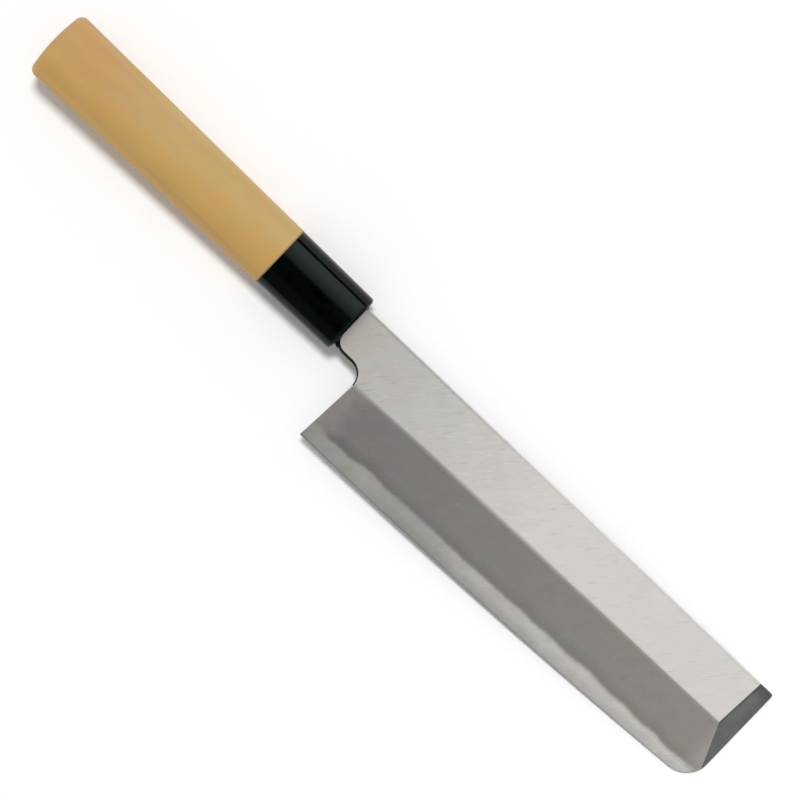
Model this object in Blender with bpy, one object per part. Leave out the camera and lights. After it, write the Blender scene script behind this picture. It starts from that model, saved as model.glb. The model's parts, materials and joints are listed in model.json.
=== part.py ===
"""Usuba, the Japanese vegetable knife, with a 165 mm edge and a single bevel for the right hand.

Units are metres. The knife is drawn in its own frame: X runs from the front face of the ferrule towards the
tip, Y towards the spine, and Z out of the bevelled side. An empty then lays it down as it rests on a table,
on the ferrule's front and the tip, with the origin under the middle of its bounding box.
"""
import math

import bmesh
import bpy
from mathutils import Matrix, Vector

# Blade outline
HEEL_REACH = 0.0122          # ferrule face to the heel corner
BLADE_LENGTH = 0.1656        # heel corner to the square end
SPINE_HEIGHT = 0.00745       # handle axis up to the spine
EDGE_DEPTHS = (0.0362, 0.03495, 0.0312)         # cutting edge below the axis: heel, middle, end
SHINOGI_DEPTHS = (0.0129, 0.01115, 0.0103)      # ridge of the bevel below the axis, likewise
STEEL_LINE_DEPTHS = (0.0307, 0.0286, 0.027)     # weld line on the bevel below the axis, likewise
TIP_CORNER_RADIUS = 0.009    # the rounded lower corner of the square end

# Blade section
NECK_THICKNESS = 0.0038
END_THICKNESS = 0.0026
EDGE_THICKNESS = 0.00015
SPINE_CHAMFER = 0.0003
STEEL_LINE_WAVES = ((0.00028, 0.0173, 0.4), (0.00016, 0.0094, 2.1))   # height, length and phase of each wave
WELD_BLEND = 0.003           # the waves fade into the flat weld over this width
WELD_GAP = 0.00002           # keeps the two welded surfaces from crossing

# Hollow back
HOLLOW_DEPTH = 0.00035
EDGE_RIM = 0.0018
SPINE_RIM = 0.0028
END_RIM = 0.0026
HOLLOW_RUN_OUT = 0.014
HOLLOW_STEPS = 9

# End bevel
END_LAND = 0.0014            # height of the square end below the bevel, at the spine
END_BEVEL_AT_SPINE = 0.0059  # length of the bevel, measured back from the end
END_BEVEL_AT_SHINOGI = 0.007

# Neck, choil and tang
NECK_DEPTH = 0.0086          # handle axis down to the underside of the neck
NECK_CORNER_RADIUS = 0.0036  # shoulder beside the ferrule
CHOIL_RADIUS = 0.0042
HEEL_LEAN = 0.0012           # the heel line leans this far towards the tip at its top
CHOIL_CHAMFER = 0.0008
CHOIL_CHAMFER_DEPTH = 0.0015
TANG_LENGTH = 0.095
TANG_WIDTHS = (0.0098, 0.0054)     # at the shoulder, near the end
TANG_THICKNESSES = (0.0034, 0.0022)
TANG_POINT_LENGTH = 0.007
TANG_POINT_SHARE = 0.5       # the tang's end face, as a share of its size before the point
TANG_ROOT = 0.004            # the tang starts this deep inside the neck

# Handle: full heights and depths at the ferrule face, the wood's shoulder and the butt
FERRULE_LENGTH = 0.0306
HANDLE_LENGTH = 0.129
HANDLE_HEIGHTS = (0.0212, 0.0219, 0.0243)
HANDLE_DEPTHS = (0.0175, 0.018, 0.0196)
SECTION_POWER = 2.15         # 2 is an ellipse, more is squarer
RIDGE_FLATS = (36.0, 61.0)   # degrees round the section where the two flats of the ridge begin
SECTION_POINTS = 56
FERRULE_EDGE_RADIUS = 0.0011
BUTT_EDGE_RADIUS = 0.0026
BUTT_DOME = 0.0008
TENON_LENGTH = 0.021
TENON_HEIGHT = 0.0154
TENON_DEPTH = 0.0118

# Seal and fits
SEAL_WALL = 0.0012
SEAL_LENGTH = 0.006
SEAL_BEAD = 0.0003           # how far the resin stands out of the ferrule
SEAL_BEAD_WIDTH = 0.0017
FIT_GAP = 0.0003             # left between pieces that seat in one another

# Steps of the round shapes, and how far cutters reach beyond what they cut
CORNER_STEPS = 8
HANDLE_STEPS = 8
FERRULE_STEPS = 4
ROUNDING_STEPS = 5
DOME_SHARES = (0.8, 0.6, 0.4, 0.2)
TENON_POINTS = 32
CUT_BEYOND = 0.01
MERGE = 1e-6

BLADE_END = HEEL_REACH + BLADE_LENGTH
BACK = -NECK_THICKNESS / 2   # level of the flat back, so that the tang lies on the handle's axis
STEEL_START = HEEL_REACH - FIT_GAP
NECK_START = SEAL_BEAD + FIT_GAP
STATION_STEP = 0.0025
BLADE_SMOOTH_ANGLE = 4.0     # degrees: the ground faces meet in crisp lines
ROUND_SMOOTH_ANGLE = 30.0


def through_three(values, share):
    """Reads a smooth curve through three values, given at shares 0, 0.5 and 1."""
    first, middle, last = values
    bow = 2 * (first - 2 * middle + last)
    return first + (last - first - bow) * share + bow * share * share


def blade_share(x):
    """How far along the blade x is: 0 at the heel, 1 at the end."""
    return (x - HEEL_REACH) / BLADE_LENGTH


def thickness(x):
    """Distal taper from the neck to the end."""
    return NECK_THICKNESS + (END_THICKNESS - NECK_THICKNESS) * x / BLADE_END


def cutting_edge(x):
    """Height of the edge line before the lower corner of the end is rounded."""
    return -through_three(EDGE_DEPTHS, blade_share(x))


def tip_corner():
    """Centre of the rounded corner that joins the edge to the square end."""
    x = BLADE_END - TIP_CORNER_RADIUS
    slope = (cutting_edge(BLADE_END) - cutting_edge(x)) / TIP_CORNER_RADIUS
    return x, cutting_edge(x) + TIP_CORNER_RADIUS * math.sqrt(1 + slope * slope)


def outline(x):
    """Height of the blade's lower outline, with the rounded corner."""
    corner_x, corner_y = tip_corner()
    if x <= corner_x:
        return cutting_edge(x)
    reach = min(x - corner_x, TIP_CORNER_RADIUS)
    return max(cutting_edge(x), corner_y - math.sqrt(TIP_CORNER_RADIUS ** 2 - reach ** 2))


def shinogi(x):
    """Height of the ridge between the flat and the bevel."""
    return -through_three(SHINOGI_DEPTHS, blade_share(x))


def bevel_level(x, y):
    """Level of the ground bevel, a straight slope from the ridge down to the edge."""
    edge = cutting_edge(x)
    rise = (thickness(x) - EDGE_THICKNESS) / (shinogi(x) - edge)
    return BACK + EDGE_THICKNESS + rise * (y - edge)


def weld_line(x):
    """Mean and wavy height of the line where the hard steel comes out on the bevel."""
    mean = -through_three(STEEL_LINE_DEPTHS, blade_share(x))
    waves = sum(height * math.sin(2 * math.pi * x / length + phase) for height, length, phase in STEEL_LINE_WAVES)
    return mean, mean + waves


def weld_points(x):
    """The weld in one section, from the lower outline or the weld line to the spine, as (y, z)."""
    mean, wavy = weld_line(x)
    inner = mean + WELD_BLEND
    level = bevel_level(x, mean)
    low = max(wavy, outline(x))
    share = min(1, max(0, (low - wavy) / (inner - wavy)))
    low_level = bevel_level(x, wavy) * (1 - share) + level * share
    return [(low, low_level), (inner, level), (SPINE_HEIGHT, level)]


def hollow(x, share):
    """Depth of the hollow back at x, at a share of the way across from the edge rim to the spine rim."""
    from_heel = x - HEEL_REACH - EDGE_RIM
    from_end = BLADE_END - END_RIM - x
    fade = min(1, max(0, min(from_heel, from_end) / HOLLOW_RUN_OUT))
    return HOLLOW_DEPTH * math.sin(fade * math.pi / 2) * 4 * share * (1 - share)


def stations():
    """Places of the blade's sections, closer together round the tip corner."""
    corner_x, _ = tip_corner()
    count = math.ceil((corner_x - STEEL_START) / STATION_STEP)
    straight = [STEEL_START + (corner_x - STEEL_START) * i / count for i in range(count)]
    turns = [math.pi / 2 * i / CORNER_STEPS for i in range(CORNER_STEPS + 1)]
    return straight + [corner_x + TIP_CORNER_RADIUS * math.sin(turn) for turn in turns]


def iron_section(x, welded):
    """Soft iron at x: spine, flat, ridge, bevel, then the weld, or the flat back where there is no steel."""
    top = BACK + thickness(x)
    ridge = shinogi(x)
    if welded:
        weld = weld_points(x)
    else:
        weld = [(y, BACK) for y, _ in weld_points(x)]
    low = weld[0][0]
    face = [(SPINE_HEIGHT, top - SPINE_CHAMFER), (SPINE_HEIGHT - SPINE_CHAMFER, top), (ridge, top)]
    bevel = [(low, bevel_level(x, low))]
    return [(x, y, z) for y, z in face + bevel + weld]


def steel_section(x):
    """Hard steel at x: the weld, the hollow back between its two rims, and the edge."""
    low = outline(x)
    rim_low, rim_high = low + EDGE_RIM, SPINE_HEIGHT - SPINE_RIM
    back = [(SPINE_HEIGHT, BACK)]
    for step in range(HOLLOW_STEPS, -1, -1):
        share = step / HOLLOW_STEPS
        back.append((rim_low + (rim_high - rim_low) * share, BACK + hollow(x, share)))
    back.append((low, BACK))
    weld = [(y, z - WELD_GAP) for y, z in weld_points(x)]
    edge_top = min(bevel_level(x, low), weld[0][1])
    return [(x, y, z) for y, z in weld + back + [(low, edge_top)]]


def loft(name, rings):
    """Skins rings of equally many points and closes both ends, all in triangles split the same way."""
    mesh = bmesh.new()
    levels = [[mesh.verts.new(point) for point in ring] for ring in rings]
    count = len(rings[0])
    for near, far in zip(levels, levels[1:]):
        for i in range(count):
            j = (i + 1) % count
            mesh.faces.new((near[i], near[j], far[j]))
            mesh.faces.new((near[i], far[j], far[i]))
    mesh.faces.new(levels[0])
    mesh.faces.new(levels[-1])
    bmesh.ops.remove_doubles(mesh, verts=mesh.verts, dist=MERGE)
    bmesh.ops.dissolve_degenerate(mesh, edges=mesh.edges, dist=MERGE)
    bmesh.ops.triangulate(mesh, faces=[face for face in mesh.faces if len(face.verts) > 3])
    bmesh.ops.recalc_face_normals(mesh, faces=mesh.faces)
    return to_object(name, mesh)


def to_object(name, mesh):
    """Puts a bmesh into a new object that lies in the knife's frame."""
    data = bpy.data.meshes.new(name)
    mesh.to_mesh(data)
    mesh.free()
    piece = bpy.data.objects.new(name, data)
    bpy.context.collection.objects.link(piece)
    return piece


def box_rings(spans):
    """Rings of a bar of rectangular section, from (x, width along Y, thickness along Z)."""
    return [
        [(x, width / 2, -thick / 2), (x, width / 2, thick / 2), (x, -width / 2, thick / 2), (x, -width / 2, -thick / 2)]
        for x, width, thick in spans
    ]


def tang_size(x):
    """Width and thickness of the tang's straight taper at x, which is below 0 inside the handle."""
    share = (TANG_ROOT - x) / (TANG_ROOT + TANG_LENGTH)
    return tuple(big + (small - big) * share for big, small in (TANG_WIDTHS, TANG_THICKNESSES))


def tang_rings(grow=0.0, start=TANG_ROOT, beyond=0.0):
    """The tang, or with grow the slot that it is driven into."""
    end = -TANG_LENGTH - beyond
    spans = []
    for x, share in ((start, 1), (end + TANG_POINT_LENGTH, 1), (end, TANG_POINT_SHARE)):
        width, thick = tang_size(x)
        spans.append((x, width * share + 2 * grow, thick * share + 2 * grow))
    return box_rings(spans)


def choil_outline(grow):
    """What is ground away below the neck and behind the heel. Grow moves it into the blade."""
    heel_top = HEEL_REACH + HEEL_LEAN + grow
    choil_x = heel_top - CHOIL_RADIUS
    neck = -NECK_DEPTH + grow
    corner = NECK_CORNER_RADIUS - grow
    centre_x = NECK_START + grow + corner
    points = []
    for step in range(CORNER_STEPS + 1):
        angle = math.pi / 2 * (2 + step / CORNER_STEPS)
        points.append((centre_x + corner * math.cos(angle), neck + corner + corner * math.sin(angle)))
    for step in range(CORNER_STEPS + 1):
        angle = math.pi / 2 * (1 - step / CORNER_STEPS)
        points.append((choil_x + CHOIL_RADIUS * math.cos(angle), neck - CHOIL_RADIUS + CHOIL_RADIUS * math.sin(angle)))
    fall = EDGE_DEPTHS[0] - NECK_DEPTH - CHOIL_RADIUS
    low = -EDGE_DEPTHS[0] - CUT_BEYOND
    points.append((heel_top - HEEL_LEAN * (fall + CUT_BEYOND) / fall, low))
    points.append((NECK_START - FIT_GAP, low))
    points.append((NECK_START - FIT_GAP, neck + corner))
    return points


def choil_cutter():
    """A prism of that outline, flared near the top so that it leaves the chamfer."""
    top = BACK + thickness(HEEL_REACH)
    levels = (
        (BACK - CHOIL_CHAMFER_DEPTH, 0.0),
        (top - CHOIL_CHAMFER_DEPTH, 0.0),
        (top, CHOIL_CHAMFER),
        (top + CHOIL_CHAMFER_DEPTH, 2 * CHOIL_CHAMFER),
    )
    return loft("choil_cutter", [[(x, y, z) for x, y in choil_outline(grow)] for z, grow in levels])


def end_bevel_cutter():
    """A block that lies on the plane of the end bevel."""
    start_x = BLADE_END - END_BEVEL_AT_SPINE
    at_spine = Vector((start_x, SPINE_HEIGHT, BACK + thickness(start_x)))
    ridge_x = BLADE_END - END_BEVEL_AT_SHINOGI
    at_ridge = Vector((ridge_x, shinogi(ridge_x), BACK + thickness(ridge_x)))
    low = Vector((BLADE_END, SPINE_HEIGHT, BACK + END_LAND))
    along = (at_ridge - at_spine).normalized()
    down = (low - at_spine).normalized()
    reach = EDGE_DEPTHS[0] + SPINE_HEIGHT
    corners = [at_spine + along * a + down * d
               for a, d in ((-reach, -reach / 4), (reach, -reach / 4), (reach, reach), (-reach, reach))]
    lift = Vector((0, 0, reach))
    return loft("end_bevel_cutter", [corners, [corner + lift for corner in corners]])


def handle_size(x):
    """Half height and half depth of the handle at x, with its slight swell towards the butt."""
    if x > -FERRULE_LENGTH:
        share = -x / FERRULE_LENGTH
        near, far = 0, 1
    else:
        share = (-x - FERRULE_LENGTH) / (HANDLE_LENGTH - FERRULE_LENGTH)
        near, far = 1, 2
    return tuple((sizes[near] + (sizes[far] - sizes[near]) * share) / 2 for sizes in (HANDLE_HEIGHTS, HANDLE_DEPTHS))


def oval_point(half_height, half_depth, degrees):
    """A point of the full oval, measured round from the spine towards the bevelled side."""
    turn = math.radians(degrees)
    power = 2 / SECTION_POWER
    y = math.copysign(abs(math.cos(turn)) ** power, math.cos(turn)) * half_height
    z = math.copysign(abs(math.sin(turn)) ** power, math.sin(turn)) * half_depth
    return y, z


def ridge_point(half_height, half_depth):
    """Where the two flats, both tangent to the oval, meet in the ridge that the fingers feel."""
    rows = []
    for degrees in RIDGE_FLATS:
        y, z = oval_point(half_height, half_depth, degrees)
        power = SECTION_POWER - 1
        rows.append(((y / half_height) ** power / half_height, (z / half_depth) ** power / half_depth))
    (a, b), (c, d) = rows
    return (d - b) / (a * d - b * c), (a - c) / (a * d - b * c)


def handle_ring(x, inset=0.0):
    """The D-shaped section at x: two flats and their ridge on the bevelled side, a full oval elsewhere."""
    half_height, half_depth = (size - inset for size in handle_size(x))
    first, last = RIDGE_FLATS
    points = [oval_point(half_height, half_depth, first), ridge_point(half_height, half_depth)]
    count = SECTION_POINTS - len(points)
    for step in range(count):
        points.append(oval_point(half_height, half_depth, last + (360 - last + first) * step / count))
    return [(x, y, z) for y, z in points]


def wood_rings():
    """The wooden handle from its shoulder to the rounded and domed butt."""
    face = -HANDLE_LENGTH + BUTT_DOME
    centre = face + BUTT_EDGE_RADIUS
    straight = centre + FERRULE_LENGTH
    rings = [handle_ring(-FERRULE_LENGTH + straight * i / HANDLE_STEPS) for i in range(HANDLE_STEPS + 1)]
    for step in range(1, ROUNDING_STEPS + 1):
        turn = math.pi / 2 * step / ROUNDING_STEPS
        inset = BUTT_EDGE_RADIUS * (1 - math.cos(turn))
        rings.append(handle_ring(centre - BUTT_EDGE_RADIUS * math.sin(turn), inset))
    edge = rings[-1]
    for share in DOME_SHARES:
        x = face - BUTT_DOME * (1 - share * share)
        rings.append([(x, point[1] * share, point[2] * share) for point in edge])
    return rings


def ferrule_rings():
    """The ferrule's outside, from the wood to its rounded front edge."""
    shoulder = -FERRULE_EDGE_RADIUS
    straight = shoulder + FERRULE_LENGTH
    rings = [handle_ring(-FERRULE_LENGTH + straight * i / FERRULE_STEPS) for i in range(FERRULE_STEPS + 1)]
    for step in range(1, ROUNDING_STEPS + 1):
        turn = math.pi / 2 * step / ROUNDING_STEPS
        inset = FERRULE_EDGE_RADIUS * (1 - math.cos(turn))
        rings.append(handle_ring(shoulder + FERRULE_EDGE_RADIUS * math.sin(turn), inset))
    return rings


def tenon_rings(grow, start, end):
    """An oval plug along X: the wood's tenon, or with grow the mortise that takes it."""
    half_height, half_depth = TENON_HEIGHT / 2 + grow, TENON_DEPTH / 2 + grow
    ring = [oval_point(half_height, half_depth, 360 * i / TENON_POINTS) for i in range(TENON_POINTS)]
    return [[(x, y, z) for y, z in ring] for x in (start, end)]


def combine(piece, tool, operation):
    """Cuts or joins a piece with a hidden tool object, and keeps both live."""
    tool.hide_render = True
    tool.display_type = "WIRE"
    tool.hide_set(True)
    modifier = piece.modifiers.new(tool.name, "BOOLEAN")
    modifier.operation = operation
    modifier.solver = "EXACT"
    modifier.object = tool


def finish(piece, colour, roughness, metallic, smooth_angle=ROUND_SMOOTH_ANGLE):
    """Gives a piece its material and shades its round faces smooth."""
    material = bpy.data.materials.new(piece.name)
    material.use_nodes = True
    shader = material.node_tree.nodes["Principled BSDF"]
    shader.inputs["Base Color"].default_value = (*colour, 1)
    shader.inputs["Roughness"].default_value = roughness
    shader.inputs["Metallic"].default_value = metallic
    piece.data.materials.append(material)
    piece.data.shade_smooth()
    piece.data.set_sharp_from_angle(angle=math.radians(smooth_angle))


def build_iron():
    """Soft-iron body: ground blade, neck with its choil, and the tang joined on."""
    neck = [iron_section(x, False) for x in (NECK_START, STEEL_START)]
    piece = loft("blade_soft_iron", neck + [iron_section(x, True) for x in stations()])
    combine(piece, loft("tang_root", tang_rings()), "UNION")
    combine(piece, choil_cutter(), "DIFFERENCE")
    combine(piece, end_bevel_cutter(), "DIFFERENCE")
    finish(piece, (0.45, 0.44, 0.42), 0.38, 1.0, BLADE_SMOOTH_ANGLE)
    return piece


def build_steel():
    """Hard-steel layer on the back, cut to the same choil and heel."""
    piece = loft("blade_hard_steel", [steel_section(x) for x in stations()])
    combine(piece, bpy.data.objects["choil_cutter"], "DIFFERENCE")
    finish(piece, (0.56, 0.55, 0.53), 0.3, 1.0, BLADE_SMOOTH_ANGLE)
    return piece


def build_wood():
    """Wooden handle with its tenon and the slot burnt in for the tang."""
    piece = loft("handle_wood", wood_rings())
    tenon_tip = -FERRULE_LENGTH + TENON_LENGTH
    combine(piece, loft("tenon", tenon_rings(0.0, tenon_tip, -FERRULE_LENGTH - TENON_DEPTH)), "UNION")
    combine(piece, loft("tang_slot", tang_rings(FIT_GAP, tenon_tip + TANG_ROOT, TANG_ROOT)), "DIFFERENCE")
    finish(piece, (0.57, 0.36, 0.16), 0.55, 0.0)
    return piece


def build_ferrule():
    """Ferrule with a blind mortise behind and the sealed slot in its front wall."""
    piece = loft("ferrule", ferrule_rings())
    floor = -FERRULE_LENGTH + TENON_LENGTH + FIT_GAP
    mortise = loft("mortise", tenon_rings(FIT_GAP, -FERRULE_LENGTH - TENON_DEPTH, floor))
    combine(piece, mortise, "DIFFERENCE")
    width, thick = TANG_WIDTHS[0], TANG_THICKNESSES[0]
    reach = 2 * (FIT_GAP + SEAL_WALL + FIT_GAP)
    spans = [(x, width + reach, thick + reach) for x in (floor - FERRULE_EDGE_RADIUS, FERRULE_EDGE_RADIUS)]
    combine(piece, loft("mouth", box_rings(spans)), "DIFFERENCE")
    finish(piece, (0.012, 0.016, 0.014), 0.12, 0.0)
    return piece


def build_seal():
    """Resin collar that fills the mouth round the tang, with a bead squeezed out in front."""
    width, thick = TANG_WIDTHS[0], TANG_THICKNESSES[0]
    plug = 2 * (FIT_GAP + SEAL_WALL)
    bead = plug + 2 * SEAL_BEAD_WIDTH
    spans = [(-SEAL_LENGTH, width + plug, thick + plug), (0, width + plug, thick + plug),
             (0, width + bead, thick + bead), (SEAL_BEAD, width + bead - SEAL_BEAD, thick + bead - SEAL_BEAD)]
    piece = loft("tang_seal", box_rings(spans))
    inner = 2 * FIT_GAP
    spans = [(x, width + inner, thick + inner) for x in (-2 * SEAL_LENGTH, SEAL_LENGTH)]
    combine(piece, loft("seal_bore", box_rings(spans)), "DIFFERENCE")
    finish(piece, (0.01, 0.011, 0.01), 0.35, 0.0)
    return piece


def corners_of(piece):
    """All points of a piece as it is evaluated, in the knife's frame."""
    evaluated = piece.evaluated_get(bpy.context.evaluated_depsgraph_get())
    mesh = evaluated.to_mesh()
    points = [vertex.co.copy() for vertex in mesh.vertices]
    evaluated.to_mesh_clear()
    return points


def lay_down(pieces, handle_pieces, steel):
    """Tips the knife until handle and tip both touch the table, and centres it over the origin."""
    points = [point for piece in pieces for point in corners_of(piece)]
    tip = Vector((BLADE_END, 0, min(point.z for point in corners_of(steel) if point.x > BLADE_END - END_RIM)))
    grip = [point for piece in handle_pieces for point in corners_of(piece)]
    tilt = max(math.atan2(tip.z - point.z, tip.x - point.x) for point in grip)
    turn = Matrix.Rotation(tilt, 4, "Y")
    laid = [turn @ point for point in points]
    low = [min(point[i] for point in laid) for i in range(3)]
    high = [max(point[i] for point in laid) for i in range(3)]
    rest = bpy.data.objects.new("knife_at_rest", None)
    bpy.context.collection.objects.link(rest)
    rest.rotation_euler = (0, tilt, 0)
    rest.location = (-(low[0] + high[0]) / 2, -(low[1] + high[1]) / 2, -low[2])
    for piece in list(bpy.data.objects):
        if piece is not rest:
            piece.parent = rest


def build_knife():
    """Clears the scene, builds the five pieces and lays the knife down."""
    for old in list(bpy.data.objects):
        bpy.data.objects.remove(old, do_unlink=True)
    iron = build_iron()
    steel = build_steel()
    wood = build_wood()
    ferrule = build_ferrule()
    seal = build_seal()
    bpy.context.view_layer.update()
    lay_down([iron, steel, wood, ferrule, seal], [wood, ferrule], steel)
    bpy.context.view_layer.update()


build_knife()
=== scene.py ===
import json
import math

import bmesh
import bpy
from mathutils import Matrix, Vector


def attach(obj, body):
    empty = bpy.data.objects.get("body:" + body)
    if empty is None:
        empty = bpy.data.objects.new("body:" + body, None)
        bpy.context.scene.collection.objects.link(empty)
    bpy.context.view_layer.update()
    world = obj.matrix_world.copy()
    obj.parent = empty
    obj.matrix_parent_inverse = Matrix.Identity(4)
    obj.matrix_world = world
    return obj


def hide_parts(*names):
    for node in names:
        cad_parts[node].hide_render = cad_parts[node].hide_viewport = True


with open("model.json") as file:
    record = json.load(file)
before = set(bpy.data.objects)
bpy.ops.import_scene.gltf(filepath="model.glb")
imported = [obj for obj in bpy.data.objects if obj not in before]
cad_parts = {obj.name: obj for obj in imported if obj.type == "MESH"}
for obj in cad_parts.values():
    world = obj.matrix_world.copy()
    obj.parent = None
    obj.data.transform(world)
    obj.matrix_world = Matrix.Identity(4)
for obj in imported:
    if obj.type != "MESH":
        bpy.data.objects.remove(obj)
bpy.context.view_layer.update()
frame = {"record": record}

scene = bpy.context.scene
scene.view_settings.view_transform = "Standard"

# How the knife lies
# It rests on its flat back, tipped a little: the front of the handle and the square end touch the table.
# Sizes are millimetres in the knife's own frame: X from the ferrule to the tip, Y to the spine, Z out of the
# bevelled side. The face on the back that a rack would hold gives that frame's place.
rack_face = frame["record"]["mounts"][0]
rack_face_on_knife = Vector((95.0, 6.05, -1.9))
tilt = math.asin(-rack_face["axis"][0])
turn = Matrix.Rotation(tilt, 4, "Y")
place = Vector(rack_face["pos_m"]) - turn @ (rack_face_on_knife * 0.001)
knife = Matrix.Translation(place) @ turn @ Matrix.Scale(0.001, 4)

# Camera
# It looks straight down from 1.6 m through a long lens, and is turned so that the knife runs from the upper
# left of the picture to the lower right.
view_width = 253.26
view_centre = (27.8, -6.55, 0.0)
view_turn = 43.7
camera_height = 1600.0
sensor = 36.0
lens = bpy.data.cameras.new("camera")
lens.sensor_width = sensor
lens.lens = sensor * camera_height / view_width
lens.clip_end = 20.0
camera = bpy.data.objects.new("camera", lens)
looks_at = Vector(view_centre) * 0.001 + place
camera.location = (looks_at.x, looks_at.y, camera_height * 0.001)
camera.rotation_euler = (0, 0, math.radians(view_turn))
scene.collection.objects.link(camera)
scene.camera = camera


# Table and light
# A white table under one lamp, a little up the picture from overhead, so that short shadows fall down the
# picture. Gloss shows a white room, dark low beyond the tip. In the plane across the knife it shows a strip
# lamp on the spine's side, and a strip of dark cloth from overhead to the edge's side.
class Field:
    """A number in a node tree, reckoned with like any other number."""

    def __init__(self, tree, socket):
        self.tree = tree
        self.socket = socket

    def math(self, operation, *others):
        node = self.tree.nodes.new("ShaderNodeMath")
        node.operation = operation
        for socket, value in zip(node.inputs, (self, *others)):
            if isinstance(value, Field):
                self.tree.links.new(value.socket, socket)
            else:
                socket.default_value = value
        return Field(self.tree, node.outputs[0])

    def __add__(self, other):
        return self.math("ADD", other)

    def __sub__(self, other):
        return self.math("SUBTRACT", other)

    def __rsub__(self, other):
        return (self * -1) + other

    def __mul__(self, other):
        return self.math("MULTIPLY", other)

    def __truediv__(self, other):
        return self.math("DIVIDE", other)

    def __pow__(self, other):
        return self.math("POWER", other)

    __radd__ = __add__
    __rmul__ = __mul__

    def ramp(self, start, end, low=0.0, high=1.0, smooth=True):
        """Low before start, high after end, and an even change between."""
        node = self.tree.nodes.new("ShaderNodeMapRange")
        node.interpolation_type = "SMOOTHSTEP" if smooth else "LINEAR"
        self.tree.links.new(self.socket, node.inputs["Value"])
        for name, value in (("From Min", start), ("From Max", end), ("To Min", low), ("To Max", high)):
            if isinstance(value, Field):
                self.tree.links.new(value.socket, node.inputs[name])
            else:
                node.inputs[name].default_value = value
        return Field(self.tree, node.outputs["Result"])


def output(tree, kind, name, **settings):
    """Adds a node and gives one of its outputs as a number."""
    node = tree.nodes.new(kind)
    for setting, value in settings.items():
        setattr(node, setting, value)
    return Field(tree, node.outputs[name])


lamp_lean = math.radians(17.5)
lamp_turn = math.radians(38)
lamp_softness = math.radians(13)
lamp_share = 0.60
fill_share = 0.55
strip_strength = 3.15
lamp = bpy.data.lights.new("overhead_lamp", "SUN")
lamp.angle = lamp_softness
lamp.energy = lamp_share * math.pi
lamp_stand = bpy.data.objects.new("overhead_lamp", lamp)
lamp_stand.matrix_world = Matrix.Rotation(lamp_turn, 4, "Z") @ Matrix.Rotation(-lamp_lean, 4, "X")
lamp_stand.visible_glossy = False
scene.collection.objects.link(lamp_stand)

room = bpy.data.worlds.new("room")
room.use_nodes = True
scene.world = room
tree = room.node_tree
tree.nodes.clear()
direction = tree.nodes.new("ShaderNodeSeparateXYZ")
tree.links.new(output(tree, "ShaderNodeTexCoord", "Generated").socket, direction.inputs[0])
along_knife = Field(tree, direction.outputs["X"])
across = Field(tree, direction.outputs["Y"])
height = Field(tree, direction.outputs["Z"])
path = tree.nodes.new("ShaderNodeLightPath")
seen = Field(tree, path.outputs["Is Camera Ray"])
refracted = Field(tree, path.outputs["Is Transmission Ray"])
mirrored = Field(tree, path.outputs["Is Glossy Ray"]).math("MAXIMUM", refracted)
strip_lamp = across.ramp(0.09, 0.25, 0.0, 0.42) + across.ramp(0.25, 0.76, 0.0, 0.58, smooth=False)
strip_lamp = strip_lamp * height.ramp(0.43, 0.51) * strip_strength
cloth = across.ramp(-0.45, -0.8, 0.04, 0.20)
low_wall = height.ramp(0.18, 0.0, 0.0, 0.20)
strip = strip_lamp.math("MAXIMUM", cloth).math("MAXIMUM", low_wall)
aside = along_knife.math("ABSOLUTE").ramp(0.08, 0.22)
beyond_tip = along_knife.ramp(0.66, 0.86, 1.0, 0.05)
picture = strip * (1 - aside) + aside * beyond_tip
level = seen.math("MAXIMUM", mirrored * picture)
level = level.math("MAXIMUM", (1 - seen.math("MAXIMUM", mirrored)) * fill_share)
background = tree.nodes.new("ShaderNodeBackground")
tree.links.new(level.socket, background.inputs["Strength"])
world_output = tree.nodes.new("ShaderNodeOutputWorld")
tree.links.new(background.outputs[0], world_output.inputs["Surface"])

# The table's sizes are metres.
table_half = 4.0
table_gap = 0.0002
table_grey = 0.80
corners = [(x * table_half, y * table_half, 0.0) for x, y in ((-1, -1), (1, -1), (1, 1), (-1, 1))]
table_mesh = bpy.data.meshes.new("table")
table_mesh.from_pydata(corners, [], [(0, 1, 2, 3)])
table = bpy.data.objects.new("table", table_mesh)
table.location.z = -table_gap
scene.collection.objects.link(table)
table_white = bpy.data.materials.new("table_white")
table_white.use_nodes = True
tree = table_white.node_tree
shader = tree.nodes["Principled BSDF"]
shader.inputs["Roughness"].default_value = 1.0
shader.inputs["Specular IOR Level"].default_value = 0.0
path = tree.nodes.new("ShaderNodeLightPath")
seen = Field(tree, path.outputs["Is Camera Ray"]).math("MAXIMUM", Field(tree, path.outputs["Is Glossy Ray"]))
seen = seen.math("MAXIMUM", Field(tree, path.outputs["Is Transmission Ray"]))
white = tree.nodes.new("ShaderNodeCombineColor")
for part in white.inputs:
    tree.links.new(seen.ramp(0.0, 1.0, table_grey, 1.0, smooth=False).socket, part)
tree.links.new(white.outputs[0], shader.inputs["Base Color"])
table_mesh.materials.append(table_white)


# Hard steel
# The thin layer of hard steel, forge-welded under the soft iron. On the bevel it comes out as the bright band
# along the edge, above a fine secondary bevel. Its back is ground hollow between flat rims.
heel_reach = 12.2
blade_length = 165.6
blade_end = heel_reach + blade_length
spine_height = 7.45
# Depths of the edge and of the weld at the heel, the middle and the tip.
edge_depths = (36.2, 34.95, 31.2)
weld_depths = (30.7, 28.6, 27.0)
weld_lip = 3.0
neck_thickness = 3.8
end_thickness = 2.6
back = -neck_thickness / 2
edge_thickness = 0.15
fine_bevel = 0.55
fine_bevel_drop = 0.06
tip_corner_radius = 9.0
upper_corner_radius = 0.7
steel_start = 11.9
hollow_depth = 0.35
hollow_run_out = 14.0
edge_rim = 1.8
spine_rim = 2.8
end_rim = 2.6
merge_distance = 0.0005


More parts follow.
